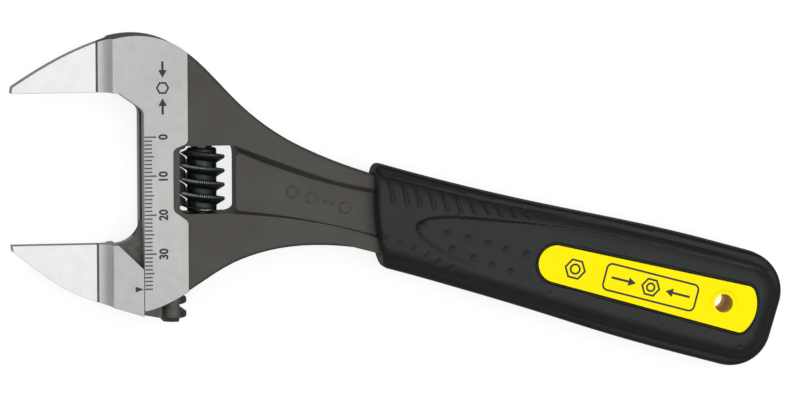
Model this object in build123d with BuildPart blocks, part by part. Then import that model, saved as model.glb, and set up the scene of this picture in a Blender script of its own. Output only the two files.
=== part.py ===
"""Adjustable wrench with slim jaws, a wide opening and a two-material grip.

The wrench lies flat, jaws to -X, handle to +X, and the movable jaw slides
along +Y to close.  Outlines are drawn in two local frames: HEAD, with x = 0
on the throat face, y = 0 on the fixed jaw's face and z = 0 on the mid-plane,
and HANDLE, with x along the handle and y across it.
"""
from build123d import *
from math import cos, radians, sin
import os

# Overall frame (mm)
GRIP_HALF = 8.2          # half thickness of the grip, the thickest piece
HEAD_X = -67.1           # throat face
HEAD_Y = 29.0            # fixed jaw face
HANDLE_DROP = 15.2       # handle angle below the jaws' line, degrees
HANDLE_START_Y = -16.1   # where the handle's axis crosses the throat face

# Jaws
OPENING = 39.0           # jaw opening at rest, fully open
JAW_TIP_X = -33.5
JAW_HALF = 2.3           # half thickness of the slim jaw tips
HEAD_HALF = 6.5          # half thickness of the ground plates
STEP_X = -11.2           # foot of the step between tip and plate
STEP_R = 3.2
SCRIBE_W = 0.5           # shallow groove at the foot of the step
SCRIBE_D = 0.3
CHAMFER_X = -6.4         # throat corner under the fixed jaw
CHAMFER_Y = -4.6
CHAMFER_R = 2.4

# Forged body behind the plates
FORGED_HALF = 5.75
SHANK_HALF = 4.0
TANG_HALF = 3.2
NOTCH_X = 7.6            # plate edge beside the worm
PLATE_X = 11.4           # back edge of the raised ground plate
GROUND_END = 20.0        # the plate's blank is cut back from here
TANG_W = 8.0             # half width of the tang inside the grip
SHANK_W = 9.6            # half width of the shank where it enters the grip
SHANK_IN = 59.5          # handle station from which the shank has an even width
TANG_IN = 67.5           # handle station where the shank narrows to the tang
TANG_STEP = 1.5
TAPER_FROM = 27.0        # the shank thins from here, away from the throat
TAPER_TO = 50.0
PANEL_FLOOR_HEAD = 3.5   # half thickness of the recessed panel at the window
PANEL_FLOOR_GRIP = 2.7
PANEL_DRAFT = 1.0        # sideways run of the panel's upper wall per unit of depth
PANEL_DRAFT_LOW = 0.3    # and of its lower wall
PANEL_CUT_H = 4.0
PANEL_X = 22.0           # the panel opens into the worm's window
PANEL_W = 5.5            # half width of the panel where it enters the grip

FORGED_RIMS = (          # radius, and a head point near each edge that it rounds
    (0.9, ((15.9, 6.2, 5.75), (23.4, -1.8, 5.75), (37.9, -13.0, 4.92), (54.9, -20.7, 4.0))),
    (0.7, ((15.7, -48.5, 5.75), (23.4, -44.0, 5.75), (38.4, -40.3, 4.88), (52.5, -40.7, 4.0))),
)

# Slide: keyhole slot and bore for the jaw's web and rack rod
SLOT_HALF = 2.15
WEB_HALF = 2.05
SLOT_TOP = 6.7
GUSSET_TOP = 6.1
ROD_X = 8.0
ROD_R = 3.6
BORE_R = 3.65
ROD_BOTTOM = -59.3
ROD_TOP = -13.2
ROD_END_CHAMFER = 1.2
PLATE_GAP = 0.12         # between the jaw's plate and the throat face
JAW_CHAMFER_Y = -6.3

# Worm, its window and pin
PITCH = 3.6
WORM_X = 15.8
WORM_TOP = -14.8
WORM_BOTTOM = -31.1
WORM_CORE_R = 3.8
WORM_CREST_R = 5.95
WORM_BORE_R = 2.05
CREST_Y = -17.2          # highest full crest on the side away from the rack
THREAD_TOP = -15.3
THREAD_BOTTOM = -30.3
WINDOW = (9.3, 24.1, -31.4, -13.9)   # left, right, bottom, top
WINDOW_R = 2.0
PIN_R = 2.0
PIN_TOP = -9.2
PIN_BOTTOM = -46.9
PIN_HEAD_R = 2.8
PIN_HEAD_H = 3.2
PIN_PLAY = 0.02
SPRING_R = 2.55
SPRING_WIRE_R = 0.28
SPRING_TURNS = 4
SPRING_POCKET_R = 3.0
SPRING_POCKET_H = 2.6
THREAD_TURNS = 5
TIP_W = 1.0              # width of the thread's crest
CREST_ROUND = 0.3
ROOT_UP = 0.75           # thread's root above and below the crest's centre
ROOT_DOWN = 1.6
RUN_OUT = 1.3
PIN_SLOT_W = 0.8
PIN_SLOT_D = 1.0
EDGE = 0.3
RACK_GAPS = 13
RACK_TIP_GAP = 0.46      # worm crest to the bottom of a rack gap
RACK_LEAD = 0.108        # slope of the rack's gaps across the rod
GAP_ABOVE = 0.14         # play above and below the worm's thread
GAP_BELOW = 0.36

# Grip
GRIP_ROUND = 6.0
LIP_ROUND = 1.4
HEEL_R = 10.5
COVER_WALL = 3.0
CORE_HALF = 6.0
HANG_S = 156.0           # hanging hole, handle station
HANG_R = 2.4
TUBE_R = 4.0
BADGE_HALF = 8.1         # badge surface, just below the cover's face
BADGE_GAP = 0.12
TUBE_SEAM = 3.6          # where the two halves of the hole's tube meet
DISH_R = 4.4
DISH_D = 0.4
DISH_FLOOR_R = 2.9
BADGE_CORNER = 2.2

HEAD = Plane(origin=(HEAD_X, HEAD_Y, GRIP_HALF), x_dir=(1, 0, 0), z_dir=(0, 0, 1))
HEAD_SIDE = Plane(origin=HEAD.origin, x_dir=(1, 0, 0), z_dir=(0, -1, 0))
HANDLE = Plane(
    origin=(HEAD_X, HEAD_Y + HANDLE_START_Y, GRIP_HALF),
    x_dir=(cos(radians(HANDLE_DROP)), -sin(radians(HANDLE_DROP)), 0),
    z_dir=(0, 0, 1),
)
FAR = 60.0               # longer than any cut needs
HANDLE_ALONG = Axis(HANDLE.origin, HANDLE.x_dir)


def across(x, y):
    """Plane across the slide direction at a point of the head."""
    return Plane(origin=(HEAD_X + x, HEAD_Y + y, GRIP_HALF), x_dir=(1, 0, 0), z_dir=(0, 1, 0))


def on_handle(s, t):
    """Head coordinates of a handle point: s along the handle, t across it."""
    a = radians(HANDLE_DROP)
    return (s * cos(a) + t * sin(a), HANDLE_START_Y - s * sin(a) + t * cos(a))


def throat_corner():
    """Throat face and the chamfered corner under the fixed jaw, from the bottom up."""
    return FilletPolyline((0, -56.0), (0, CHAMFER_Y), (CHAMFER_X, 0), radius=CHAMFER_R, close=False)


def jaw_side(back_points):
    """Upper half of a side view: slim tip, scribed groove, hollow step, plate, then back_points."""
    hollow = ThreePointArc(
        (STEP_X, JAW_HALF),
        (STEP_X + STEP_R * sin(radians(45)), JAW_HALF + STEP_R * (1 - cos(radians(45)))),
        (STEP_X + STEP_R, JAW_HALF + STEP_R),
    )
    Polyline(
        (JAW_TIP_X - 5, 0),
        (JAW_TIP_X - 5, JAW_HALF),
        (STEP_X - SCRIBE_W, JAW_HALF),
        (STEP_X - SCRIBE_W, JAW_HALF - SCRIBE_D),
        (STEP_X, JAW_HALF - SCRIBE_D),
        hollow @ 0,
    )
    Polyline(hollow @ 1, (STEP_X + STEP_R, HEAD_HALF), *back_points, (JAW_TIP_X - 5, 0))


# ---------------------------------------------------------------- body
FLOOR_SLOPE = (PANEL_FLOOR_HEAD - PANEL_FLOOR_GRIP) / 36
PANEL_PLANE = Plane(
    origin=HEAD.from_local_coords((0, 0, PANEL_FLOOR_HEAD + WINDOW[1] * FLOOR_SLOPE)),
    x_dir=(1, 0, -FLOOR_SLOPE),
    z_dir=(FLOOR_SLOPE, 0, 1),
)
with BuildPart() as panel_cut:
    for height in (0, PANEL_CUT_H):
        grow = height * PANEL_DRAFT
        grow_low = height * PANEL_DRAFT_LOW
        with BuildSketch(PANEL_PLANE.offset(height)):
            with BuildLine():
                upper = ThreePointArc(
                    (25.2 - grow, -16.1 + grow), (38.1, -21.3 + grow), on_handle(TANG_IN, PANEL_W + grow)
                )
                lower = ThreePointArc(
                    (25.2 - grow, -30.9 - grow_low), (41.6, -33.3 - grow_low),
                    on_handle(TANG_IN, -PANEL_W - grow_low),
                )
                Polyline(upper @ 0, (PANEL_X - grow, -18.3), (PANEL_X - grow, -29), lower @ 0)
                Line(upper @ 1, lower @ 1)
            make_face()
    loft()

with BuildPart() as body:
    with BuildSketch(HEAD):
        with BuildLine():
            corner = throat_corner()
            face = Line(corner @ 1, (JAW_TIP_X, 0))
            tip = Line(face @ 1, (JAW_TIP_X + 0.3, 1.6))
            crown = Spline(
                tip @ 1, (-24.1, 7.15), (-13.9, 11.95), (-2.6, 14.65), (5.5, 13.4), (11.6, 9.95),
                (18.55, 3.4), (24.95, -3.3), (33.95, -10.55), (44.45, -16.4), on_handle(SHANK_IN, SHANK_W),
            )
            Polyline(
                crown @ 1, on_handle(TANG_IN, SHANK_W), on_handle(TANG_IN + TANG_STEP, TANG_W),
                on_handle(HANG_S, TANG_W),
            )
            ThreePointArc(
                on_handle(HANG_S, TANG_W), on_handle(HANG_S + TANG_W, 0), on_handle(HANG_S, -TANG_W)
            )
            under = Polyline(
                on_handle(HANG_S, -TANG_W), on_handle(TANG_IN + TANG_STEP, -TANG_W),
                on_handle(TANG_IN, -SHANK_W), on_handle(SHANK_IN, -SHANK_W),
            )
            belly = Spline(
                under @ 1, (50.9, -40.5), (40.5, -40.2), (30.2, -41.7), (22.2, -44.6),
                (14.4, -49.3), (7.8, -53.3), (0.8, -56.0),
            )
            Line(belly @ 1, corner @ 0)
        make_face()
    extrude(amount=HEAD_HALF, both=True)
    # thickness seen from the side
    with BuildSketch(HEAD_SIDE):
        with BuildLine():
            jaw_side([
                (GROUND_END, HEAD_HALF), (GROUND_END, FORGED_HALF), (TAPER_FROM, FORGED_HALF),
                (TAPER_TO, SHANK_HALF), (TANG_IN - TANG_STEP, SHANK_HALF), (TANG_IN, TANG_HALF),
                (FAR * 3, TANG_HALF), (FAR * 3, 0),
            ])
        make_face()
        mirror(about=Plane.XZ)
    extrude(amount=FAR * 2, both=True, mode=Mode.INTERSECT)

    # recessed panel of the shank, front and back
    add(panel_cut.part, mode=Mode.SUBTRACT)
    add(mirror(panel_cut.part, about=HEAD, mode=Mode.PRIVATE), mode=Mode.SUBTRACT)
    # forged surface behind the raised plates, with the notch round the worm
    for side in (1, -1):
        with BuildSketch(HEAD.offset(side * FORGED_HALF)):
            with BuildLine():
                edge = FilletPolyline(
                    (PLATE_X, 20), (PLATE_X, -13.2), (NOTCH_X, -14.6), (NOTCH_X, -30.4),
                    (PLATE_X, -33.2), (PLATE_X, -60), radius=1.6, close=False,
                )
                Polyline(edge @ 1, (30, -60), (30, 20), edge @ 0)
            make_face()
        extrude(amount=side * 2, mode=Mode.SUBTRACT)
    # keyhole for the jaw: slot from the throat, bore right through the crown
    with BuildSketch(HEAD_SIDE.offset(-SLOT_TOP)):
        with Locations(((CHAMFER_X - 1.5 + ROD_X) / 2, 0)):
            Rectangle(ROD_X - CHAMFER_X + 1.5, 2 * SLOT_HALF)
    extrude(amount=FAR * 2, mode=Mode.SUBTRACT)
    with BuildSketch(across(ROD_X, -70)):
        Circle(BORE_R)
    extrude(amount=FAR * 2, mode=Mode.SUBTRACT)
    # worm window, right through
    with BuildSketch(HEAD):
        with Locations(((WINDOW[0] + WINDOW[1]) / 2, (WINDOW[2] + WINDOW[3]) / 2)):
            RectangleRounded(WINDOW[1] - WINDOW[0], WINDOW[3] - WINDOW[2], WINDOW_R)
    extrude(amount=FAR, both=True, mode=Mode.SUBTRACT)
    # hole for the worm's pin, with a wider seat for its head
    with BuildSketch(across(WORM_X, PIN_TOP)):
        Circle(PIN_R + PIN_PLAY)
    extrude(amount=-FAR, mode=Mode.SUBTRACT)
    with BuildSketch(across(WORM_X, PIN_BOTTOM + PIN_HEAD_H)):
        Circle(PIN_HEAD_R + PIN_PLAY)
    extrude(amount=-FAR, mode=Mode.SUBTRACT)
    # hole in the tang for the hanging hole's tube
    with BuildSketch(HANDLE):
        with Locations((HANG_S, 0)):
            Circle(TUBE_R + BADGE_GAP)
    extrude(amount=FAR, both=True, mode=Mode.SUBTRACT)
    # rounded rims of the forging along its back and belly
    for side in (1, -1):
        for radius, spots in FORGED_RIMS:
            near = [HEAD.from_local_coords((x, y, side * z)) for x, y, z in spots]
            fillet([body.edges().sort_by_distance(point)[0] for point in near], radius)

# --------------------------------------------------------- movable jaw
# Drawn closed, y = 0 on the jaw's face, then placed OPENING lower.
JAW = Plane(origin=(HEAD_X, HEAD_Y - OPENING, GRIP_HALF), x_dir=(1, 0, 0), z_dir=(0, 0, 1))
JAW_SIDE = Plane(origin=JAW.origin, x_dir=(1, 0, 0), z_dir=(0, -1, 0))
with BuildPart() as rack_rod:
    with BuildSketch(Plane(origin=across(ROD_X, 0).origin, x_dir=(1, 0, 0), z_dir=(0, 0, 1))):
        with BuildLine():
            Polyline(
                (0, ROD_BOTTOM), (ROD_R - ROD_END_CHAMFER, ROD_BOTTOM),
                (ROD_R, ROD_BOTTOM + ROD_END_CHAMFER), (ROD_R, ROD_TOP - ROD_END_CHAMFER / 2),
                (ROD_R - ROD_END_CHAMFER / 2, ROD_TOP), (0, ROD_TOP), close=True,
            )
        make_face()
    revolve(axis=Axis(across(ROD_X, 0).origin, (0, 1, 0)))
    # tooth gaps, slanted to the worm's lead
    for turn in range(RACK_GAPS):
        gap_plane = Plane(
            origin=HEAD.from_local_coords((WORM_X, CREST_Y + PITCH / 2 - PITCH * turn, 0)),
            x_dir=(1, 0, 0),
            z_dir=(0, -RACK_LEAD, 1),
        )
        with BuildSketch(gap_plane):
            with BuildLine():
                Polyline(
                    (-WORM_CREST_R - RACK_TIP_GAP, TIP_W / 2 + GAP_ABOVE),
                    (-WORM_CREST_R, TIP_W / 2 + GAP_ABOVE),
                    (-WORM_CORE_R, ROOT_UP + GAP_ABOVE),
                    (-WORM_CORE_R, -ROOT_DOWN - GAP_BELOW),
                    (-WORM_CREST_R, -TIP_W / 2 - GAP_BELOW),
                    (-WORM_CREST_R - RACK_TIP_GAP, -TIP_W / 2 - GAP_BELOW),
                    close=True,
                )
            make_face()
        extrude(amount=2 * ROD_R, both=True, mode=Mode.SUBTRACT)

with BuildPart() as movable_jaw:
    # jaw plate
    with BuildSketch(JAW):
        with BuildLine():
            face_line = Line((CHAMFER_X - 0.2, 0), (JAW_TIP_X, 0))
            jaw_tip = Line(face_line @ 1, (JAW_TIP_X + 0.3, -1.6))
            jaw_under = Spline(
                jaw_tip @ 1, (-27.5, -6.1), (-19.3, -11.6), (-11.0, -15.0), (-PLATE_GAP, -18.4)
            )
            Polyline(jaw_under @ 1, (-PLATE_GAP, JAW_CHAMFER_Y), face_line @ 0)
        make_face()
    extrude(amount=HEAD_HALF, both=True)
    with BuildSketch(JAW_SIDE):
        with BuildLine():
            jaw_side([(5, HEAD_HALF), (5, 0)])
        make_face()
        mirror(about=Plane.XZ)
    extrude(amount=FAR, both=True, mode=Mode.INTERSECT)
    # thin web in the slot, with the gusset that rises in the throat's corner
    with BuildSketch(JAW):
        with BuildLine():
            gusset = ThreePointArc((CHAMFER_X - 0.2, 0), (-2.6, 1.6), (-PLATE_GAP, GUSSET_TOP))
            Polyline(
                gusset @ 1, (ROD_X - 2.6, GUSSET_TOP), (ROD_X - 1, GUSSET_TOP - 1.6),
                (ROD_X - 1, ROD_BOTTOM + OPENING + 0.6), (-PLATE_GAP - 1, -18.2),
                (CHAMFER_X - 0.2, -8), gusset @ 0,
            )
        make_face()
    extrude(amount=WEB_HALF, both=True)
    add(rack_rod.part)

# ---------------------------------------------------------------- worm
THREAD_START = CREST_Y + PITCH * (1.25 - THREAD_TURNS)   # the path starts on the +Z side
WORM_AXIS = Axis(across(WORM_X, 0).origin, (0, 1, 0))
WORM_SIDE = Plane(origin=WORM_AXIS.position, x_dir=(1, 0, 0), z_dir=(0, 0, 1))

with BuildPart() as worm:
    with BuildLine():
        thread_path = Helix(
            PITCH, THREAD_TURNS * PITCH, WORM_CORE_R, lefthand=True,
            center=across(WORM_X, THREAD_START).origin, direction=(0, 1, 0),
        )
    with BuildSketch(Plane(origin=thread_path @ 0, x_dir=(0, 0, 1), z_dir=thread_path % 0)):
        crest = WORM_CREST_R - WORM_CORE_R
        with BuildLine():
            flanks = Polyline(
                (crest - CREST_ROUND, TIP_W / 2), (0, ROOT_UP), (-CREST_ROUND, ROOT_UP),
                (-CREST_ROUND, -ROOT_DOWN), (0, -ROOT_DOWN), (crest - CREST_ROUND, -TIP_W / 2),
            )
            ThreePointArc(flanks @ 1, (crest, 0), flanks @ 0)
        make_face()
    sweep(path=thread_path, is_frenet=True)
    # the thread runs out on a bevel at both ends
    with BuildSketch(WORM_SIDE):
        Polygon(
            (0, THREAD_BOTTOM), (WORM_CORE_R, THREAD_BOTTOM), (WORM_CREST_R + 1, THREAD_BOTTOM + RUN_OUT),
            (WORM_CREST_R + 1, THREAD_TOP - RUN_OUT), (WORM_CORE_R, THREAD_TOP), (0, THREAD_TOP),
            align=None,
        )
    revolve(axis=WORM_AXIS, mode=Mode.INTERSECT)
    # core with its two collars
    with BuildSketch(WORM_SIDE):
        Polygon(
            (0, WORM_BOTTOM), (WORM_CORE_R - EDGE, WORM_BOTTOM), (WORM_CORE_R, WORM_BOTTOM + EDGE),
            (WORM_CORE_R, WORM_TOP - EDGE), (WORM_CORE_R - EDGE, WORM_TOP), (0, WORM_TOP),
            align=None,
        )
    revolve(axis=WORM_AXIS)
    # running bore, and the pocket for the spring at the top
    with BuildSketch(across(WORM_X, WORM_BOTTOM - 1)):
        Circle(WORM_BORE_R)
    extrude(amount=FAR, mode=Mode.SUBTRACT)
    with BuildSketch(across(WORM_X, WORM_TOP - SPRING_POCKET_H)):
        Circle(SPRING_POCKET_R)
    extrude(amount=FAR, mode=Mode.SUBTRACT)

# ------------------------------------------------------------ worm pin
with BuildPart() as worm_pin:
    with BuildSketch(across(WORM_X, PIN_BOTTOM)):
        Circle(PIN_HEAD_R)
    extrude(amount=PIN_HEAD_H)
    with BuildSketch(across(WORM_X, PIN_BOTTOM)):
        Circle(PIN_R)
    extrude(amount=PIN_TOP - PIN_BOTTOM - PIN_PLAY)
    chamfer(worm_pin.faces().sort_by(Axis.Y)[-1].edges(), EDGE)
    with BuildSketch(across(WORM_X, PIN_BOTTOM)):
        Rectangle(PIN_SLOT_W, FAR)
    extrude(amount=PIN_SLOT_D, mode=Mode.SUBTRACT)

# --------------------------------------------------------- worm spring
SPRING_BOTTOM = WORM_TOP - SPRING_POCKET_H + SPRING_WIRE_R
SPRING_HEIGHT = WINDOW[3] - SPRING_WIRE_R - SPRING_BOTTOM
with BuildPart() as worm_spring:
    with BuildLine():
        coil = Helix(
            SPRING_HEIGHT / SPRING_TURNS, SPRING_HEIGHT, SPRING_R,
            center=across(WORM_X, SPRING_BOTTOM).origin, direction=(0, 1, 0),
        )
    with BuildSketch(Plane(origin=coil @ 0, x_dir=(0, 0, 1), z_dir=coil % 0)):
        Circle(SPRING_WIRE_R)
    sweep(path=coil, is_frenet=True)

# ---------------------------------------------------------------- grip
def grip_outline(wall):
    """Outline of the grip in handle coordinates, moved inwards by a wall thickness."""
    mouth = ThreePointArc((68.2 + wall, wall - 12.9), (62.2 + wall, 0), (59.1 + wall, 12.75 - wall))
    heel = FilletPolyline(
        (150, 14.6 - wall), (171.4 - wall, 14.4 - wall), (170.6 - wall, wall - 15.75),
        (150, wall - 15.7), radius=HEEL_R - wall, close=False,
    )
    Spline(
        mouth @ 1, (82.9, 12.5 - wall), (104.4, 13.05 - wall), (125.7, 14.1 - wall), heel @ 0,
        tangents=[(1, -0.03), heel % 0],
    )
    Spline(
        heel @ 1, (128.0, wall - 15.2), (108.0, wall - 14.1), (88.0, wall - 13.3), mouth @ 0,
        tangents=[heel % 1, (-1, 0)],
    )


def badge_outline():
    """Outline of a badge insert in handle coordinates: round front, bowed back."""
    nose = ThreePointArc((110.4, -5.5), (106.1, -0.8), (110.0, 4.0))
    bow = ThreePointArc((162.3, 5.95), (164.7, -0.2), (162.4, -6.35))
    Line(nose @ 1, bow @ 0)
    Line(bow @ 1, nose @ 0)


with BuildPart() as grip_blank:
    with BuildSketch(HANDLE):
        with BuildLine():
            grip_outline(0)
        make_face()
    extrude(amount=GRIP_HALF, both=True)
    rims = grip_blank.edges().filter_by(lambda e: abs(abs(e.center().Z - GRIP_HALF) - GRIP_HALF) < EDGE)
    mouth_rims = rims.sort_by(HANDLE_ALONG)[0:2]
    fillet([e for e in rims if e not in mouth_rims], GRIP_ROUND)
    fillet(grip_blank.faces().sort_by(HANDLE_ALONG)[0].edges(), LIP_ROUND)

with BuildPart() as core_blank:
    with BuildSketch(HANDLE):
        with BuildLine():
            grip_outline(COVER_WALL)
        make_face()
    extrude(amount=CORE_HALF, both=True)

with BuildPart() as grip_core:
    add(core_blank.part)
    add(body.part, mode=Mode.SUBTRACT)
    with BuildSketch(HANDLE):
        with Locations((HANG_S, 0)):
            Circle(TUBE_R + BADGE_GAP)
    extrude(amount=FAR, both=True, mode=Mode.SUBTRACT)

with BuildPart() as grip_cover:
    add(grip_blank.part)
    add(core_blank.part, mode=Mode.SUBTRACT)
    add(body.part, mode=Mode.SUBTRACT)
    for side in (1, -1):
        with BuildSketch(HANDLE.offset(side * CORE_HALF)):
            with BuildLine():
                badge_outline()
            make_face()
            fillet(vertices().sort_by(HANDLE_ALONG)[-2:], BADGE_CORNER)
            offset(amount=BADGE_GAP)
        extrude(amount=side * GRIP_HALF, mode=Mode.SUBTRACT)


def badge(side):
    """Yellow insert of one side with its half of the hanging hole's tube."""
    with BuildPart() as insert:
        with BuildSketch(HANDLE.offset(side * CORE_HALF)):
            with BuildLine():
                badge_outline()
            make_face()
            fillet(vertices().sort_by(HANDLE_ALONG)[-2:], BADGE_CORNER)
        extrude(amount=side * (BADGE_HALF - CORE_HALF))
        with BuildSketch(HANDLE.offset(TUBE_SEAM)):
            with Locations((HANG_S, 0)):
                Circle(TUBE_R)
        extrude(amount=side * CORE_HALF - TUBE_SEAM)
        with BuildSketch(HANDLE):
            with Locations((HANG_S, 0)):
                Circle(HANG_R)
        extrude(amount=FAR, both=True, mode=Mode.SUBTRACT)
        # shallow dish round the mouth of the hole
        dish_floor = HANDLE.offset(side * (BADGE_HALF - DISH_D))
        dish_rim = HANDLE.offset(side * (BADGE_HALF + EDGE))
        with BuildSketch(dish_floor):
            with Locations((HANG_S, 0)):
                Circle(DISH_FLOOR_R)
        with BuildSketch(dish_rim):
            with Locations((HANG_S, 0)):
                Circle(DISH_R)
        loft(mode=Mode.SUBTRACT)
    return insert


badge_front = badge(1)
badge_back = badge(-1)

os.makedirs("parts", exist_ok=True)
pieces = {
    "body": body, "movable_jaw": movable_jaw, "worm": worm, "worm_pin": worm_pin,
    "worm_spring": worm_spring, "grip_core": grip_core, "grip_cover": grip_cover,
    "badge_front": badge_front, "badge_back": badge_back,
}
for name, piece in pieces.items():
    piece.part.label = name
    export_step(piece.part, f"parts/{name}.step")
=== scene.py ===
"""Looks for the adjustable wrench: steels, worm, grip, scale and badge prints, lights, camera.

Lengths are in millimetres until a mesh is made; MM turns them into metres.  Two local frames are
used, as in the CAD: head (x = 0 throat face, y = 0 fixed jaw's face, z = 0 mid-plane) and handle
(s along it, t across it, z from the mid-plane).
"""
from math import cos, hypot, pi, radians, sin, sqrt

import bmesh
import bpy
from mathutils import Matrix, Vector


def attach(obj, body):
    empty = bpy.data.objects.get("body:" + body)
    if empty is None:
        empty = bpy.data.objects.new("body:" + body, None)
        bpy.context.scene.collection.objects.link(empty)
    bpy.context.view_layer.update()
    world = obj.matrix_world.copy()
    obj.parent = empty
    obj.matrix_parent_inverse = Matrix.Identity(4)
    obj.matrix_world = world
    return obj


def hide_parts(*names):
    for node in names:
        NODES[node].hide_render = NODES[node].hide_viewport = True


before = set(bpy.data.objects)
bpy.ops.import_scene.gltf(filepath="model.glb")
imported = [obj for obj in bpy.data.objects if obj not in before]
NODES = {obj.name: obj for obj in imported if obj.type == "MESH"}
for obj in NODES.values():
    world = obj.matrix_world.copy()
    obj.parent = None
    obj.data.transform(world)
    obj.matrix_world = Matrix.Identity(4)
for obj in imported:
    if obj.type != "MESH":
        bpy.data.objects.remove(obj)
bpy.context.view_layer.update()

MM = 0.001

# Sizes shared with the CAD (mm)
HEAD_X, HEAD_Y, MID_Z = -67.1, 29.0, 8.2
HANDLE_DROP = radians(15.2)
HANDLE_START_Y = -16.1
OPENING = 39.0
HEAD_HALF = 6.5
JAW_HALF = 2.3
STEP_X, STEP_R, SCRIBE_W = -11.2, 3.2, 0.5
WORM_X = 15.8
WORM_TOP, WORM_BOTTOM = -14.8, -31.1
WORM_CORE_R, WORM_CREST_R, WORM_BORE_R = 3.8, 5.95, 2.05
SPRING_POCKET_R, SPRING_POCKET_H = 3.0, 2.6
PITCH = 3.6
CREST_Y = -17.2
THREAD_TOP, THREAD_BOTTOM, RUN_OUT = -15.3, -30.3, 1.3
TIP_W, CREST_ROUND, ROOT_UP, ROOT_DOWN = 1.0, 0.3, 0.75, 1.6
EDGE = 0.3
BADGE_HALF, CORE_HALF = 8.1, 6.0

SHARP = 1e-9             # metres; thin marks are welded this finely


def head(x, y, z=0.0):
    """Row-frame point, in metres, of a point of the head."""
    return Vector((HEAD_X + x, HEAD_Y + y, MID_Z + z)) * MM


ALONG = Vector((cos(HANDLE_DROP), -sin(HANDLE_DROP), 0))
ACROSS = Vector((sin(HANDLE_DROP), cos(HANDLE_DROP), 0))
HANDLE_ORIGIN = head(0, HANDLE_START_Y)


def handle(s, t, z=0.0):
    """Row-frame point, in metres, of a point of the handle."""
    return HANDLE_ORIGIN + (ALONG * s + ACROSS * t + Vector((0, 0, z))) * MM


def to_head(p):
    """Head coordinates, in mm, of a row-frame point."""
    return p / MM - Vector((HEAD_X, HEAD_Y, MID_Z))


def to_handle(p):
    """Handle coordinates, in mm, of a row-frame point."""
    d = (p - HANDLE_ORIGIN) / MM
    return d.dot(ALONG), d.dot(ACROSS), d.z


# ------------------------------------------------------------ materials
class Shader:
    """One Principled material with short calls for its nodes. Lengths are in metres."""

    def __init__(self, name, **sockets):
        self.material = bpy.data.materials.new(name)
        self.material.use_nodes = True
        self.tree = self.material.node_tree
        self.out = next(n for n in self.tree.nodes if n.type == "BSDF_PRINCIPLED")
        self.place = self.node("ShaderNodeTexCoord").outputs["Object"]
        for key, value in sockets.items():
            self.out.inputs[key.replace("_", " ")].default_value = value

    def node(self, kind, inputs=None, **properties):
        n = self.tree.nodes.new(kind)
        for key, value in properties.items():
            setattr(n, key, value)
        for key, value in (inputs or {}).items():
            if isinstance(value, bpy.types.NodeSocket):
                self.tree.links.new(value, n.inputs[key])
            else:
                n.inputs[key].default_value = value
        return n

    def set(self, socket, value):
        self.tree.links.new(value, self.out.inputs[socket])

    def noise(self, size, detail=2.0, rough=0.5, stretch=(1, 1, 1), turn=0.0):
        """Noise with grains of about this size in mm, longer along an axis by stretch."""
        mapped = self.node("ShaderNodeMapping", {
            "Vector": self.place, "Rotation": (0, 0, turn), "Scale": [1 / k for k in stretch],
        })
        return self.node("ShaderNodeTexNoise", {
            "Vector": mapped.outputs[0], "Scale": 1 / (size * MM), "Detail": detail,
            "Roughness": rough,
        }).outputs["Fac"]

    def ramp(self, value, low, high, a=0.3, b=0.7):
        """Colours, or greys, from low to high as value goes from a to b."""
        ramp = self.node("ShaderNodeValToRGB", {"Fac": value})
        for element, at, colour in zip(ramp.color_ramp.elements, (a, b), (low, high)):
            element.position = at
            element.color = (*colour, 1)
        return ramp.outputs[0]

    def scale(self, value, low, high):
        """value, from 0 to 1, turned into low to high."""
        return self.node("ShaderNodeMapRange", {
            "Value": value, "To Min": low, "To Max": high,
        }).outputs[0]

    def mix(self, fac, a, b, kind="MIX"):
        m = self.node("ShaderNodeMix", data_type="RGBA", blend_type=kind)
        for key, value in ((0, fac), (6, a), (7, b)):
            if isinstance(value, bpy.types.NodeSocket):
                self.tree.links.new(value, m.inputs[key])
            else:
                m.inputs[key].default_value = value if key == 0 else (*value, 1)
        return m.outputs[2]

    def edges(self, radius):
        """From 0 on a flat to 1 on a sharp edge, for wear."""
        wide = self.node("ShaderNodeBevel", {"Radius": radius * MM}, samples=4)
        flat = self.node("ShaderNodeNewGeometry").outputs["Normal"]
        dot = self.node(
            "ShaderNodeVectorMath", {0: wide.outputs[0], 1: flat}, operation="DOT_PRODUCT")
        return self.node("ShaderNodeMapRange", {
            "Value": dot.outputs["Value"],
            "From Min": 0.995, "From Max": 0.8, "To Min": 0, "To Max": 1,
        }).outputs[0]

    def bump(self, layers, bevel=0.0):
        """Bumps, as (height value, depth in mm), over an edge rounding in mm."""
        normal = None
        if bevel:
            normal = self.node("ShaderNodeBevel", {"Radius": bevel * MM}, samples=6).outputs[0]
        for value, depth in layers:
            inputs = {"Height": value, "Distance": depth * MM, "Strength": 1.0}
            if normal is not None:
                inputs["Normal"] = normal
            normal = self.node("ShaderNodeBump", inputs).outputs[0]
        self.set("Normal", normal)


def ground_steel(name, light, dark, rough, turn=0.0, metallic=1.0):
    """Ground bare steel: fine scratches one way, faint stains, softened edges."""
    m = Shader(name, Metallic=metallic)
    grind = m.noise(0.16, 3.0, 0.6, (1, 40, 1), turn)
    stain = m.noise(26.0, 2.0, 0.4)
    base = m.ramp(stain, dark, light)
    streak = m.ramp(grind, (0.95, 0.95, 0.95), (1, 1, 1))
    m.set("Base Color", m.mix(1.0, base, streak, "MULTIPLY"))
    m.set("Roughness", m.scale(m.noise(3.0, 4.0), rough - 0.06, rough + 0.08))
    m.bump([(grind, 0.003)], bevel=0.2)
    return m.material


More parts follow.
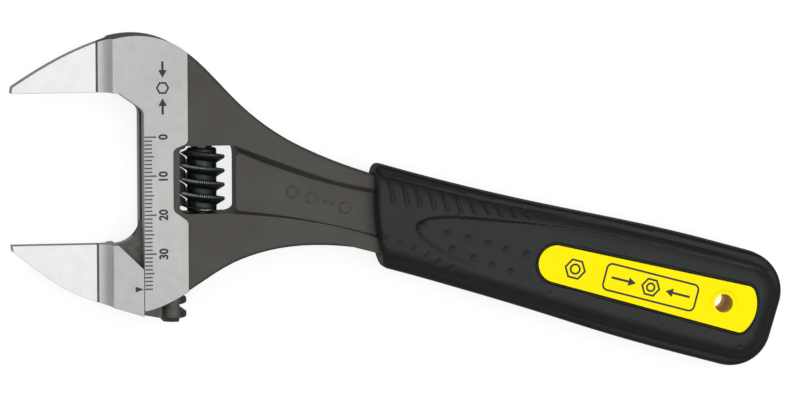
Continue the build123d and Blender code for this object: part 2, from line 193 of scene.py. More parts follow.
def forged_steel():
    """Forging with a dark phosphate finish: sandy grain, worn bright at its edges."""
    m = Shader("forged_finish", Metallic=0.55)
    grain = m.noise(0.35, 5.0, 0.65)
    patch = m.noise(12.0, 3.0, 0.5)
    base = m.ramp(patch, (0.076, 0.069, 0.059), (0.092, 0.085, 0.073))
    speck = m.ramp(grain, (0.82, 0.82, 0.82), (1.1, 1.1, 1.1))
    dull = m.mix(1.0, base, speck, "MULTIPLY")
    wear_and_highlight = m.node(
        "ShaderNodeMath", {0: m.edges(0.35), 1: m.noise(1.2, 4.0, 0.7)}, operation="MULTIPLY")
    m.set("Base Color", m.mix(wear_and_highlight.outputs[0], dull, (0.30, 0.29, 0.26)))
    m.set("Roughness", m.scale(grain, 0.42, 0.58))
    m.bump([(m.noise(2.6, 3.0, 0.5), 0.05), (grain, 0.02)], bevel=0.55)
    return m.material


def blued_steel(name, low, high, rough):
    """Machined steel with a black oil finish."""
    m = Shader(name, Metallic=0.8)
    tone = m.noise(1.8, 4.0, 0.6)
    grain = m.noise(0.25, 3.0, 0.6)
    m.set("Base Color", m.ramp(tone, low, high))
    m.set("Roughness", m.scale(grain, rough - 0.08, rough + 0.1))
    m.bump([(grain, 0.008)], bevel=0.1)
    return m.material


def rubber():
    """Moulded black rubber with a fine spark-eroded texture and rubbed high spots."""
    m = Shader("grip_rubber_finish", Specular_IOR_Level=0.36)
    pits = m.noise(0.22, 4.0, 0.7)
    swirl = m.noise(14.0, 3.0, 0.5)
    base = m.ramp(swirl, (0.0075, 0.0088, 0.0084), (0.0105, 0.0120, 0.0115))
    dusty = m.ramp(m.noise(0.7, 5.0, 0.7), (0, 0, 0), (0.35, 0.35, 0.35), 0.55, 0.8)
    m.set("Base Color", m.mix(dusty, base, (0.017, 0.019, 0.018)))
    m.set("Roughness", m.scale(m.noise(1.4, 4.0, 0.7), 0.34, 0.50))
    m.bump([(m.noise(1.1, 3.0, 0.6), 0.02), (pits, 0.010)])
    return m.material


def strip_rubber():
    """Black of the strip along the grip's back, duller, and darker than the face as painted shade
    of that upper side.
    """
    m = Shader("grip_strip_painted_shade", Specular_IOR_Level=0.2)
    pits = m.noise(0.3, 4.0, 0.7)
    swirl = m.noise(9.0, 3.0)
    m.set("Base Color", m.ramp(swirl, (0.0035, 0.0042, 0.0040), (0.0065, 0.0075, 0.0070)))
    m.set("Roughness", m.scale(m.noise(1.4, 4.0, 0.7), 0.32, 0.50))
    m.bump([(pits, 0.012)])
    return m.material


def yellow_plastic():
    """Bright signal-yellow moulding with faint flow marks, and an emission that paints in extra
    light, brighter than the lamps make it.
    """
    # the emission is painted light: the badge glows though it is no lamp
    m = Shader("badge_finish", Specular_IOR_Level=0.05, Emission_Color=(1.0, 0.84, 0.0, 1),
               Emission_Strength=0.24)
    flow = m.noise(6.0, 3.0, 0.6, (3, 1, 1), -HANDLE_DROP)
    m.set("Base Color", m.ramp(flow, (1.0, 0.86, 0.0015), (1.0, 0.90, 0.002)))
    m.set("Roughness", m.scale(m.noise(0.8, 4.0, 0.6), 0.28, 0.40))
    m.bump([(m.noise(0.5, 3.0, 0.6), 0.004)], bevel=0.15)
    return m.material


def tube_plastic():
    """The same moulding inside the hanging hole and down the badge's sides, darker and browner as
    painted shade, mottled at random.
    """
    m = Shader("hole_painted_shade", Specular_IOR_Level=0.2)
    mottle = m.noise(1.6, 4.0, 0.6)
    # darker, browner yellow: the shade in the hole, painted into the colour
    m.set("Base Color", m.ramp(mottle, (0.66, 0.42, 0.08), (0.92, 0.66, 0.12)))
    m.set("Roughness", m.scale(m.noise(0.8, 4.0, 0.6), 0.35, 0.5))
    m.bump([(mottle, 0.01)])
    return m.material


def ink(name, low, high, rough):
    """Thin printed or etched mark, with a mottled edge to edge tone."""
    m = Shader(name)
    m.set("Base Color", m.ramp(m.noise(0.4, 4.0, 0.7), low, high))
    m.set("Roughness", m.scale(m.noise(0.3, 3.0, 0.6), rough - 0.05, rough + 0.1))
    m.bump([(m.noise(0.15, 2.0, 0.5), 0.003)])
    return m.material


# the hollow step and the jaw faces are less metallic than bare steel, to reach the photo's tones
PLATE = ground_steel("plate_finish", (0.445, 0.432, 0.42), (0.41, 0.40, 0.388), 0.36)
TIP = ground_steel("tip_finish", (0.68, 0.665, 0.65), (0.64, 0.63, 0.615), 0.32, radians(90))
HOLLOW = ground_steel("hollow_finish", (0.66, 0.65, 0.64), (0.60, 0.59, 0.58), 0.42, metallic=0.35)
MACHINED = ground_steel(
    "machined_finish", (0.38, 0.375, 0.365), (0.32, 0.315, 0.305), 0.42, metallic=0.5)
FORGED = forged_steel()
WORM = blued_steel("worm_finish", (0.020, 0.026, 0.026), (0.055, 0.065, 0.066), 0.34)
# lighter copy of the worm's steel: a painted highlight on the knurl notches
WORM_HIGHLIGHT = blued_steel("worm_painted_highlight", (0.32, 0.33, 0.32), (0.58, 0.59, 0.58), 0.4)
RACK = blued_steel("rack_finish", (0.075, 0.072, 0.066), (0.120, 0.115, 0.105), 0.42)
PIN = blued_steel("pin_finish", (0.10, 0.10, 0.10), (0.19, 0.19, 0.19), 0.30)
SPRING = blued_steel("spring_finish", (0.30, 0.29, 0.27), (0.42, 0.41, 0.39), 0.30)
CORE = blued_steel("grip_core_finish", (0.02, 0.02, 0.02), (0.03, 0.03, 0.03), 0.6)
RUBBER = rubber()
STRIP_SHADE_RUBBER = strip_rubber()
YELLOW = yellow_plastic()
# dark copy of the yellow moulding, painted shade for the hole and the badge's sides
HOLE_SHADE = tube_plastic()
ETCH = ink("etch_finish", (0.10, 0.095, 0.09), (0.16, 0.15, 0.14), 0.5)
BLACK_INK = ink("print_finish", (0.012, 0.011, 0.010), (0.030, 0.028, 0.026), 0.45)


# -------------------------------------------------- finishes of the CAD nodes
def paint(name, materials, choose=None):
    """Gives a CAD node its materials, each face by choose(head point, normal)."""
    mesh = NODES[name].data
    mesh.materials.clear()
    for m in materials:
        mesh.materials.append(m)
    for face in mesh.polygons:
        chosen = choose(to_head(face.center), face.normal) if choose else materials[0]
        face.material_index = materials.index(chosen)


def is_ground(p, n):
    """True for the ground faces of both jaws: slim tips, hollow step and plates."""
    on_plate = abs(p.z) > HEAD_HALF - 0.05 and abs(n.z) > 0.9
    on_tip = p.x < STEP_X and abs(n.z) > 0.5
    return on_plate or on_tip


def is_step(p, n):
    """True in the hollow step between tip and plate, and the groove at its foot."""
    along = STEP_X - SCRIBE_W - 0.1 < p.x < STEP_X + STEP_R + 0.1
    return along and abs(n.y) < 0.5 and abs(p.z) < HEAD_HALF


def is_scribe(p):
    """True in the scribed groove at the foot of the step, which is given the dark rack finish as
    painted shade.
    """
    return STEP_X - SCRIBE_W - 0.02 < p.x < STEP_X + 0.02 and abs(p.z) < JAW_HALF - 0.02


def body_finish(p, n):
    # painted shade: the groove is coloured dark for the shadow inside it
    if is_scribe(p):
        return RACK
    if is_step(p, n):
        return HOLLOW
    if is_ground(p, n):
        return TIP if p.x < STEP_X else PLATE
    throat = p.x < 0.1 and n.x < -0.5 and p.y < 0
    jaw_face = p.x < STEP_X or p.x < 0.1 and n.y < -0.3 and p.y > -6
    return MACHINED if throat or jaw_face else FORGED


def jaw_finish(p, n):
    # painted shade: the groove is coloured dark for the shadow inside it
    if is_scribe(p):
        return RACK
    if is_step(p, n):
        return HOLLOW
    if p.x < 0 and is_ground(p, n):
        return TIP if p.x < STEP_X else PLATE
    face = p.x < STEP_X or p.x < -0.1 and n.y > 0.7
    return MACHINED if face else RACK


paint("body", [FORGED, PLATE, TIP, HOLLOW, MACHINED, RACK], body_finish)
paint("movable_jaw", [RACK, PLATE, TIP, HOLLOW, MACHINED], jaw_finish)


def badge_finish(p, n):
    """Yellow on the badge's face; the darker copy, painted shade, in its tube and down its sides.
    """
    return YELLOW if abs(n.z) > 0.3 and abs(p.z) > CORE_HALF + 0.1 else HOLE_SHADE


for node in ("badge_front", "badge_back"):
    paint(node, [YELLOW, HOLE_SHADE], badge_finish)
for node, finish in {
    "worm": WORM, "worm_pin": PIN, "worm_spring": SPRING, "grip_core": CORE, "grip_cover": RUBBER,
}.items():
    paint(node, [finish])


# ------------------------------------------------------------ mesh helpers
def add_mesh(name, verts, faces, material, smooth=False):
    mesh = bpy.data.meshes.new(name)
    mesh.from_pydata([tuple(v) for v in verts], [], faces)
    mesh.materials.append(material)
    mesh.update()
    for face in mesh.polygons:
        face.use_smooth = smooth
    obj = bpy.data.objects.new(name, mesh)
    bpy.context.scene.collection.objects.link(obj)
    return obj


def weld(obj, gap=1e-6):
    """Merges doubled points, drops empty faces and turns the normals outwards."""
    work = bmesh.new()
    work.from_mesh(obj.data)
    bmesh.ops.remove_doubles(work, verts=work.verts, dist=gap)
    bmesh.ops.dissolve_degenerate(work, edges=work.edges, dist=gap)
    bmesh.ops.recalc_face_normals(work, faces=work.faces)
    work.to_mesh(obj.data)
    work.free()


def slabs(name, outlines, place, low, high, material, body):
    """Thin raised marks: each counter-clockwise outline, from low to high above place's plane."""
    verts, faces = [], []
    for outline in outlines:
        n, first = len(outline), len(verts)
        verts += [place(x, y, low) for x, y in outline] + [place(x, y, high) for x, y in outline]
        faces.append([first + n + k for k in range(n)])
        faces.append([first + n - 1 - k for k in range(n)])
        faces += [
            [first + k, first + (k + 1) % n, first + n + (k + 1) % n, first + n + k]
            for k in range(n)
        ]
    obj = add_mesh(name, verts, faces, material)
    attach(obj, body)
    return obj


def ring(points, width):
    """Closed band of even width along a closed 2-D outline, as quads."""
    n = len(points)
    inner = []
    for k in range(n):
        a, b, c = (Vector(points[(k + j) % n]) for j in (-1, 0, 1))
        d0, d1 = (b - a).normalized(), (c - b).normalized()
        m = Vector((-(d0 + d1).y, (d0 + d1).x)).normalized()
        inner.append(b + m * width / max(m.dot(Vector((-d0.y, d0.x))), 0.4))
    return [[points[k], points[(k + 1) % n], inner[(k + 1) % n], inner[k]] for k in range(n)]


def hexagon(s, t, radius):
    return [(s + radius * cos(pi / 3 * k), t + radius * sin(pi / 3 * k)) for k in range(6)]


def circle(s, t, radius, count=28):
    turn = 2 * pi / count
    return [(s + radius * cos(turn * k), t + radius * sin(turn * k)) for k in range(count)]


def rounded_box(s, t, half_s, half_t, radius, count=7):
    """Rectangle with round corners, counter-clockwise."""
    points = []
    for corner, (ks, kt) in enumerate(((1, 1), (-1, 1), (-1, -1), (1, -1))):
        for k in range(count):
            a = pi / 2 * (corner + k / (count - 1))
            points.append((s + ks * (half_s - radius) + radius * cos(a),
                           t + kt * (half_t - radius) + radius * sin(a)))
    return points


ARROW_SHAFT, ARROW_HEAD = 0.3, 2.0       # half width of a shaft, length of a head


def arrow_outline(length, head_half):
    """Arrow along x from the origin, counter-clockwise."""
    neck = length - ARROW_HEAD
    return [(0, -ARROW_SHAFT), (neck, -ARROW_SHAFT), (neck, -head_half), (length, 0),
            (neck, head_half), (neck, ARROW_SHAFT), (0, ARROW_SHAFT)]


# ------------------------------------------------------------ scale marks
PRINT_SUNK, PRINT_PROUD = 0.05, 0.012    # how far a print starts below and ends above its face
MARK_LOW, MARK_HIGH = HEAD_HALF - PRINT_SUNK, HEAD_HALF + PRINT_PROUD
ZERO_Y = -11.35          # the scale's zero on the throat's edge
TICK_W = 0.42
TICK_FROM = 0.12
DIGIT_H, DIGIT_X, DIGIT_BOLD = 2.4, 6.15, 0.035


def tick_length(k):
    if k % 10 == 0:
        return 3.2
    return 2.5 if k % 5 == 0 else 2.1


ticks = []
for k in range(int(OPENING) + 1):
    y = ZERO_Y - k
    ticks.append([
        (TICK_FROM, y - TICK_W / 2), (tick_length(k), y - TICK_W / 2),
        (tick_length(k), y + TICK_W / 2), (TICK_FROM, y + TICK_W / 2),
    ])
slabs("scale_ticks", ticks, head, MARK_LOW, MARK_HIGH, ETCH, "wrench_body")


def lettering(name, text, centre, height, up, material, body, z, squeeze=1.0, bold=0.0):
    """A generic number, flat on a plane z = const, centred, with its top towards up."""
    curve = bpy.data.curves.new(name, "FONT")
    curve.body = text
    curve.align_x = "CENTER"
    curve.align_y = "CENTER"
    curve.size = 1.0
    curve.offset = bold
    curve.extrude = 0.01
    curve.resolution_u = 6
    helper = bpy.data.objects.new(name + "_text", curve)
    bpy.context.scene.collection.objects.link(helper)
    bpy.context.view_layer.update()
    graph = bpy.context.evaluated_depsgraph_get()
    mesh = bpy.data.meshes.new_from_object(helper.evaluated_get(graph))
    bpy.data.objects.remove(helper)
    xs = [v.co.x for v in mesh.vertices]
    ys = [v.co.y for v in mesh.vertices]
    size = height / (max(ys) - min(ys)) * MM
    middle = Vector(((max(xs) + min(xs)) / 2, (max(ys) + min(ys)) / 2))
    right = Vector((up.y, -up.x, 0))
    for v in mesh.vertices:
        x = (v.co.x - middle.x) * size * squeeze
        y = (v.co.y - middle.y) * size
        top = v.co.z > 0
        v.co = centre + right * x + up * y + Vector((0, 0, (z[1] if top else z[0]) * MM))
    mesh.materials.clear()
    mesh.materials.append(material)
    obj = bpy.data.objects.new(name, mesh)
    bpy.context.scene.collection.objects.link(obj)
    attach(obj, body)
    return obj


for number in range(0, int(OPENING), 10):
    lettering(
        f"scale_number_{number}", str(number), head(DIGIT_X - DIGIT_H / 2, ZERO_Y - number),
        DIGIT_H, Vector((-1, 0, 0)), BLACK_INK, "wrench_body", (MARK_LOW, MARK_HIGH),
        squeeze=0.92, bold=DIGIT_BOLD,
    )

# arrow on the movable jaw that reads the scale
POINTER_X, POINTER_TIP, POINTER_HALF = -2.4, -0.2, 0.75
POINTER_Y = ZERO_Y - OPENING
slabs(
    "scale_arrow",
    [[(POINTER_X, POINTER_Y + POINTER_HALF), (POINTER_X, POINTER_Y - POINTER_HALF),
      (POINTER_TIP, POINTER_Y)]],
    head, MARK_LOW, MARK_HIGH, BLACK_INK, "jaw",
)

PLATE_MARK, PLATE_MARK_REACH = (4.9, 1.2), 6.8
PLATE_NUT_R, PLATE_LINE = 1.75, 0.46
PLATE_ARROW, PLATE_ARROW_HALF = 4.2, 1.1


def plate_marks():
    """Generic pictogram on the plate: a nut with an arrow from each side along the slide."""
    x, y = PLATE_MARK
    arrow_way = arrow_outline(PLATE_ARROW, PLATE_ARROW_HALF)
    marks = ring(hexagon(x, y, PLATE_NUT_R), PLATE_LINE)
    marks.append([(x - v, y + PLATE_MARK_REACH - u) for u, v in arrow_way][::-1])
    marks.append([(x - v, y - PLATE_MARK_REACH + u) for u, v in arrow_way])
    return marks


plate_print = slabs(
    "plate_pictogram", plate_marks(), head, MARK_LOW, MARK_HIGH, BLACK_INK, "wrench_body",
)
weld(plate_print, SHARP)


# raised pictograms on the recessed panel of the shank, front and back
PANEL_Z, PANEL_FROM, PANEL_SLOPE = 3.5, 24.1, 0.8 / 36
EMBOSS_LINE, EMBOSS_SUNK, EMBOSS_RISE = 0.45, 0.1, 0.16


def emboss_marks():
    """Generic ring, nut, bar and ring in a row along the shank."""
    marks = ring(circle(40.2, 0.3, 1.7), EMBOSS_LINE) + ring(hexagon(45.4, 0.1, 1.8), EMBOSS_LINE)
    marks += ring(rounded_box(50.0, 0.0, 1.3, 0.5, 0.4), EMBOSS_LINE / 2)
    return marks + ring(circle(54.6, -0.3, 1.7), EMBOSS_LINE)


def on_panel(side):
    def place(s, t, rise):
        p = handle(s, t)
        floor_z = PANEL_Z - (to_head(p).x - PANEL_FROM) * PANEL_SLOPE
        return p + Vector((0, 0, side * (floor_z + rise))) * MM
    return place


for name, side in (("front", 1), ("back", -1)):
    mark = slabs(
        f"emboss_{name}", emboss_marks(), on_panel(side), -EMBOSS_SUNK, EMBOSS_RISE, FORGED,
        "wrench_body",
    )
    weld(mark, SHARP)


# ------------------------------------------------------------------- worm
KNURLS, KNURL_COLUMNS = 72, 4
KNURL_DEPTH, KNURL_REACH = 0.22, 0.4     # notches are cut in the crest's outer 0.4 mm
COLUMNS = KNURLS * KNURL_COLUMNS
HIGHLIGHT_ROWS = (0, 1, 2)     # profile rows along the crest's upper edge, coloured bright in and beside the notches as a painted highlight
PROFILE = [               # axial offset from the crest's centre, radius
    (0.53, 5.45), (TIP_W / 2, WORM_CREST_R - CREST_ROUND), (0.3, WORM_CREST_R - 0.1),
    (0.0, WORM_CREST_R), (-0.3, WORM_CREST_R - 0.1), (-TIP_W / 2, WORM_CREST_R - CREST_ROUND),
    (-0.62, 5.45), (-0.9, 4.97), (-1.2, 4.47), (-1.42, 4.1), (-ROOT_DOWN, WORM_CORE_R + 0.04),
    (-1.75, WORM_CORE_R), (-2.1, WORM_CORE_R), (-2.5, WORM_CORE_R),
    (ROOT_UP - PITCH - 0.02, WORM_CORE_R), (0.72 - PITCH, 4.1), (0.66 - PITCH, 4.55),
    (0.6 - PITCH, 5.0),
]


def worm_radius(r, y, column):
    """Thread radius with its run-out at both ends and the knurl's notches on the crest."""
    slope = (WORM_CREST_R + 1 - WORM_CORE_R) / RUN_OUT
    limit = WORM_CORE_R + slope * min(y - THREAD_BOTTOM, THREAD_TOP - y)
    if r > WORM_CREST_R - KNURL_REACH and column % KNURL_COLUMNS == 0:
        r -= KNURL_DEPTH
    return max(WORM_CORE_R, min(r, limit))


def worm_point(r, angle, y):
    return head(WORM_X + r * cos(angle), y, r * sin(angle))


TURNS = range(2, -7, -1)  # more turns than the worm is long; its ends cut them off
helix_rows = [(CREST_Y + turn * PITCH + offset, r) for turn in TURNS for offset, r in PROFILE]
step = len(PROFILE)
mid_y = (WORM_TOP + WORM_BOTTOM) / 2
start_rows = [(mid_y, WORM_BORE_R), (WORM_TOP - SPRING_POCKET_H, WORM_BORE_R),
              (WORM_TOP - SPRING_POCKET_H, SPRING_POCKET_R), (WORM_TOP, SPRING_POCKET_R),
              (WORM_TOP, WORM_CORE_R - EDGE)]
end_rows = [(WORM_BOTTOM, WORM_CORE_R - EDGE), (WORM_BOTTOM, WORM_BORE_R)]
worm_verts = []
for column in range(COLUMNS):
    angle = 2 * pi * column / COLUMNS
    rise = PITCH * column / COLUMNS
    worm_verts += [worm_point(r, angle, y) for y, r in start_rows]
    for y0, r in helix_rows:
        y = min(max(y0 + rise, WORM_BOTTOM + EDGE), WORM_TOP - EDGE)
        worm_verts.append(worm_point(worm_radius(r, y, column), angle, y))
    worm_verts += [worm_point(r, angle, y) for y, r in end_rows]

rows = len(start_rows) + len(helix_rows) + len(end_rows)
first, last = len(start_rows), len(start_rows) + len(helix_rows) - 1


def next_row(row, column):
    """Row of the next column that meets this row; the helix shifts by one pitch at the seam."""
    if column < COLUMNS - 1 or not first <= row <= last:
        return row
    return min(max(row - step, first), last)


worm_faces, wear_and_highlight = [], []
for column in range(COLUMNS):
    here, there = column * rows, (column + 1) % COLUMNS * rows
    for row in range(rows):
        below = (row + 1) % rows
        worm_faces.append([
            here + row, here + below,
            there + next_row(below, column), there + next_row(row, column),
        ])
        # the crest's upper edge, in and beside each notch, gets the painted highlight
        on_crest = first <= row <= last and (row - first) % step in HIGHLIGHT_ROWS
        wear_and_highlight.append(on_crest and column % KNURL_COLUMNS < KNURL_COLUMNS / 2)
worm_faces = [[v for k, v in enumerate(f) if v not in f[:k]] for f in worm_faces]
wear_and_highlight = [flag for flag, f in zip(wear_and_highlight, worm_faces) if len(f) > 2]
worm_piece = add_mesh("worm_knurled", worm_verts, [f for f in worm_faces if len(f) > 2], WORM)
worm_piece.data.materials.append(WORM_HIGHLIGHT)
for face, flag in zip(worm_piece.data.polygons, wear_and_highlight):
    face.material_index = int(flag)
weld(worm_piece, 2e-6)
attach(worm_piece, "adjuster")
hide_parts("worm")


# ------------------------------------------------------------ grip cover
def smooth_step(x, a, b):
    k = min(max((x - a) / (b - a), 0.0), 1.0)
    return k * k * (3 - 2 * k)


def bell(x, width):
    """1 in the middle, falling to 0 at width."""
    return 1 - smooth_step(abs(x), 0, width)


def line_at(points, s):
    """Height of a polyline of (s, t) points at station s."""
    for (s0, t0), (s1, t1) in zip(points, points[1:]):
        if s0 <= s <= s1:
            return t0 + (t1 - t0) * (s - s0) / (s1 - s0)
    return points[0][1] if s < points[0][0] else points[-1][1]


STRIP = [(60, 10.0), (75, 10.2), (95, 11.2), (115, 12.6), (135, 13.1), (165, 13.4)]
LEAF_TOP = [(72.4, -0.7), (73.1, 0.8), (75.4, 2.6), (77.9, 3.5), (82.4, 4.8), (90.3, 6.1),
            (103.5, 8.2), (112, 9.5), (125.7, 10.5), (139.5, 11.1), (166, 11.7)]
LEAF_LOW = [(72.4, -0.7), (73.3, -2.2), (75.1, -3.8), (78.1, -5.1), (81.6, -6.3), (85.2, -7.0),
            (92, -8.2), (104, -9.2)]
RIB_TOPS = [(62.7, 10.7), (66.3, 11.1), (70.1, 10.2), (73.7, 10.4), (77.3, 10.3), (81.0, 10.6),
            (84.7, 10.5), (88.1, 11.0), (91.8, 10.9), (95.6, 11.2), (99.7, 10.8)]
RIB_FEET = [(65.3, 3.9), (69.1, 4.2), (72.4, 4.7), (76.2, 4.9), (79.6, 5.5), (83.2, 5.7),
            (86.7, 6.6), (90.3, 7.5), (93.7, 7.6), (97.1, 8.5), (100.6, 9.2)]
RIB_DEPTH, RIB_STEEP, RIB_GENTLE = 0.75, 0.3, 1.0
LEAF_DEPTH = 0.7
STRIP_DEPTH, STRIP_WALL, STRIP_EDGE = 0.5, 0.45, 0.3
DIMPLES = [(74.7, 0.2), (81.3, -0.1), (86.9, 0.0), (92.2, -0.2), (97.2, -0.3), (102.7, -0.3),
           (83.6, -3.7), (89.4, -4.6), (94.7, -5.3), (99.9, -5.6)]
DOTS = [(104.7, -5.4), (111.3, -8.6), (142.2, -9.5), (163.3, -10.0), (167.1, -6.0)]
NUBS = [(66.0, -5.4), (69.7, -5.8), (73.7, -6.2), (77.6, -6.9), (80.9, -7.8), (84.6, -8.6)]
DIMPLE_DEPTH, DIMPLE_R = 0.45, 1.2
DOT_DEPTH, DOT_R = 0.25, 0.8
NUB_DEPTH, NUB_HALF_W, NUB_HALF_H, NUB_SLANT = 0.35, 0.7, 1.7, 0.25
CROWNING = 0.95           # how far the face falls away at FACE_HALF from its middle
FACE_MIDDLE, FACE_HALF = -0.8, 12.0
CROWN_END = 1.15          # the crown stops growing at this many FACE_HALFs


def rib_depth(s, t):
    """Slanted grooves under the top strip: a steep left wall and a gentle right one."""
    for (top_s, top_t), (foot_s, foot_t) in zip(RIB_TOPS, RIB_FEET):
        if foot_t - 0.5 < t < top_t + 1.4:
            gap = s - top_s - (foot_s - top_s) * (top_t - t) / (top_t - foot_t)
            if gap >= 0:
                wall = 1 - smooth_step(gap, 0.0, RIB_GENTLE)
            else:
                wall = smooth_step(gap, -RIB_STEEP, 0.0)
            if wall > 0:
                strip = line_at(STRIP, s)
                fade = 1 - smooth_step(t, strip - 0.2, strip + 0.5)
                return RIB_DEPTH * wall * fade * smooth_step(t, foot_t - 0.5, foot_t + 0.6)
    return 0.0


def leaf_depth(s, t):
    """Thumb recess: sharp upper edge, long scooped lower one."""
    if s <= LEAF_TOP[0][0]:
        return 0.0
    upper = smooth_step(line_at(LEAF_TOP, s) - t, 0.0, 0.3)
    away = t - line_at(LEAF_LOW, s)
    fade = 1 - smooth_step(s, 82, 104)
    lower = smooth_step(away, 0.0, 2.2) * fade + smooth_step(away, -6.0, 6.0) * (1 - fade)
    shape = upper * lower
    return LEAF_DEPTH * shape * smooth_step(s, LEAF_TOP[0][0], LEAF_TOP[0][0] + 1.0)


def grip_depth(s, t):
    """How far the moulded face lies below the plain cover, in mm."""
    depth = CROWNING * min(abs(t - FACE_MIDDLE) / FACE_HALF, CROWN_END) ** 3
    # strip along the top, cut back behind a crisp line (its darker colour, given below, is painted
    # shade)
    strip = line_at(STRIP, s)
    depth += STRIP_DEPTH * smooth_step(t, strip, strip + STRIP_WALL)
    depth += rib_depth(s, t) + leaf_depth(s, t)
    for ds, dt in DIMPLES:
        depth += DIMPLE_DEPTH * bell(hypot(s - ds, t - dt), DIMPLE_R)
    for ds, dt in DOTS:
        depth += DOT_DEPTH * bell(hypot(s - ds, t - dt), DOT_R)
    for ds, dt in NUBS:
        slant = (s - ds) - NUB_SLANT * (t - dt)
        depth += NUB_DEPTH * bell(slant, NUB_HALF_W) * bell(t - dt, NUB_HALF_H)
    return depth


VOXEL = 0.42
SMOOTHINGS = 2
cover = NODES["grip_cover"]
level_out = Matrix.Rotation(HANDLE_DROP, 3, "Z")      # the voxels lie along the handle
grip = add_mesh("grip_cover_moulded", [level_out @ v.co for v in cover.data.vertices],
                [list(f.vertices) for f in cover.data.polygons], RUBBER, True)
weld(grip, 1e-6)
remesh = grip.modifiers.new("voxels", "REMESH")
remesh.mode = "VOXEL"
remesh.voxel_size = VOXEL * MM
remesh.use_smooth_shade = True
bpy.context.view_layer.update()
graph = bpy.context.evaluated_depsgraph_get()
dense = bpy.data.meshes.new_from_object(grip.evaluated_get(graph))
grip.modifiers.clear()
grip.data = dense
work = bmesh.new()
work.from_mesh(dense)
for _ in range(SMOOTHINGS):
    bmesh.ops.smooth_vert(
        work, verts=work.verts, factor=0.5, use_axis_x=True, use_axis_y=True, use_axis_z=True)
work.to_mesh(dense)
work.free()
dense.transform(level_out.inverted().to_4x4())
dense.update()
normals = [v.normal.copy() for v in dense.vertices]
for v, n in zip(dense.vertices, normals):
    s, t, z = to_handle(v.co)
    outwards = n.z if z > 0 else -n.z
    facing = smooth_step(outwards, 0.15, 0.6) * smooth_step(abs(z), 4.0, 6.2)
    if facing > 0:
        v.co -= n * grip_depth(s, t) * facing * MM
# the grip's top side, above the strip's line, gets the darker black: painted shade
dense.materials.append(STRIP_SHADE_RUBBER)
for face in dense.polygons:
    s, t, z = to_handle(face.center)
    face.material_index = int(t > line_at(STRIP, s) + STRIP_EDGE)
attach(grip, "wrench_body")
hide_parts("grip_cover")


# ------------------------------------------------------------ badge print
BADGE_LINE, BADGE_PRINT_SUNK = 0.5, 0.03
BADGE_ARROW, BADGE_ARROW_HALF, BADGE_ARROW_REACH = 6.6, 1.15, 10.6


def badge_arrow(s, t, way):
    """Arrow that ends near (s, t) and points to it along the handle, way = 1 or -1."""
    outline = arrow_outline(BADGE_ARROW, BADGE_ARROW_HALF)
    points = [(s + way * (x - BADGE_ARROW_REACH), t + y) for x, y in outline]
    return points[::way]


def badge_marks():
    """Generic pictograms: a nut, and a framed nut with an arrow from each side."""
    small, framed = (115.8, -0.85), (136.2, -0.6)
    marks = ring(hexagon(*small, 2.9), BADGE_LINE) + ring(circle(*small, 1.45), BADGE_LINE)
    marks += ring(rounded_box(*framed, 12.6, 3.7, 1.6), BADGE_LINE)
    marks += ring(hexagon(*framed, 2.6), BADGE_LINE) + ring(circle(*framed, 1.25), BADGE_LINE)
    return marks + [badge_arrow(*framed, 1), badge_arrow(*framed, -1)]


def on_badge(side):
    def place(s, t, z):
        return handle(s, t, side * z)
    return place


for name, side in (("front", 1), ("back", -1)):
    mark = slabs(
        f"badge_print_{name}", badge_marks(), on_badge(side), BADGE_HALF - BADGE_PRINT_SUNK,
        BADGE_HALF + PRINT_PROUD, BLACK_INK, "wrench_body",
    )
    weld(mark, SHARP)


# ------------------------------------------------------------ floor, lights, camera
AIM = Vector((0.175, -0.307, 8.2)) * MM
LEAN, LIFT, ROLL = radians(9.4), radians(5.3), radians(0.25)
DISTANCE = 2.6
PIXELS_PER_MM, FRAME_PIXELS, SENSOR = 3.89, 800, 36.0

toward = Vector((-sin(LEAN), sin(LIFT), 0))
toward.z = sqrt(1 - toward.length_squared)
up = (Vector((0, 1, 0)) - toward * toward.y).normalized()
right = up.cross(toward)
up, right = up * cos(ROLL) + right * sin(ROLL), right * cos(ROLL) - up * sin(ROLL)

camera = bpy.data.objects.new("camera", bpy.data.cameras.new("camera"))
camera.data.sensor_width = SENSOR
camera.data.lens = PIXELS_PER_MM / MM * DISTANCE / FRAME_PIXELS * SENSOR
camera.data.clip_end = 20
camera.matrix_world = Matrix.Translation(AIM + toward * DISTANCE) @ Matrix(
    (right, up, toward)).transposed().to_4x4()
bpy.context.scene.collection.objects.link(camera)
bpy.context.scene.camera = camera

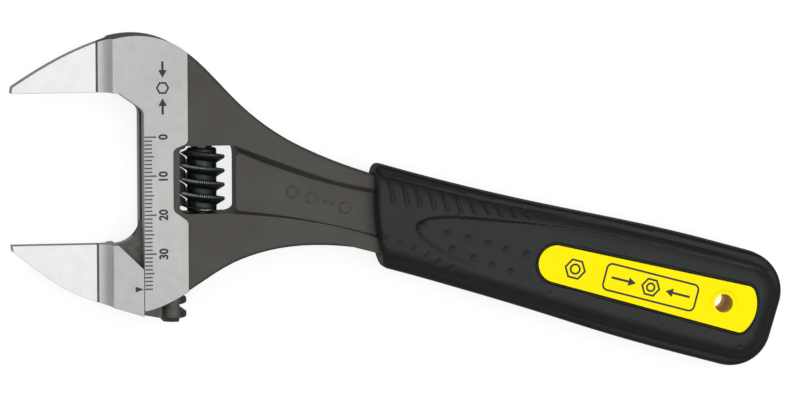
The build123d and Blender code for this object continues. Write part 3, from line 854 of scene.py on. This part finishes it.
FLOOR_HALF, FLOOR_DROP = 3.0, 0.0002     # metres
floor_finish = Shader(
    "floor_finish", Roughness=0.9, Emission_Color=(1, 1, 1, 1), Emission_Strength=0.8)
floor_finish.set("Base Color", floor_finish.ramp(
    floor_finish.noise(60.0), (0.34, 0.34, 0.338), (0.36, 0.36, 0.358)))
floor = add_mesh(
    "floor", [(-FLOOR_HALF, -FLOOR_HALF, 0), (FLOOR_HALF, -FLOOR_HALF, 0),
              (FLOOR_HALF, FLOOR_HALF, 0), (-FLOOR_HALF, FLOOR_HALF, 0)],
    [[0, 1, 2, 3]], floor_finish.material,
)
floor.location.z = -FLOOR_DROP
floor.visible_glossy = False     # dark sides, as over a cut-out ground


def softbox(name, place, size, power):
    """Round area light at place, in metres, turned to the camera's aim."""
    light = bpy.data.lights.new(name, "AREA")
    light.shape = "DISK"
    light.size = size
    light.energy = power
    obj = bpy.data.objects.new(name, light)
    bpy.context.scene.collection.objects.link(obj)
    obj.location = place
    obj.rotation_euler = (place - AIM).to_track_quat("Z", "Y").to_euler()


# a dome that is bright overhead and dark towards the horizon, and one soft key light
SKY_LOW, SKY_HIGH, SKY_DARK, SKY_BRIGHT = 0.35, 0.94, 0.24, 1.15
SKY_AXIS = (0.0, 0.25, 0.97)
KEY_PLACE, KEY_SIZE, KEY_POWER = Vector((0.22, -0.10, 1.0)), 0.7, 0.55
softbox("key", KEY_PLACE, KEY_SIZE, KEY_POWER)
world = bpy.data.worlds.new("studio")
bpy.context.scene.world = world
world.use_nodes = True
sky = world.node_tree.nodes
way = sky.new("ShaderNodeTexCoord")
height = sky.new("ShaderNodeVectorMath")
height.operation = "DOT_PRODUCT"
height.inputs[1].default_value = SKY_AXIS
level = sky.new("ShaderNodeMapRange")
level.interpolation_type = "SMOOTHSTEP"
for key, value in {
    "From Min": SKY_LOW, "From Max": SKY_HIGH, "To Min": SKY_DARK, "To Max": SKY_BRIGHT,
}.items():
    level.inputs[key].default_value = value
sky["Background"].inputs["Color"].default_value = (0.97, 0.985, 1.0, 1)
world.node_tree.links.new(way.outputs["Generated"], height.inputs[0])
world.node_tree.links.new(height.outputs["Value"], level.inputs["Value"])
world.node_tree.links.new(level.outputs[0], sky["Background"].inputs["Strength"])
bpy.context.scene.view_settings.view_transform = "Standard"
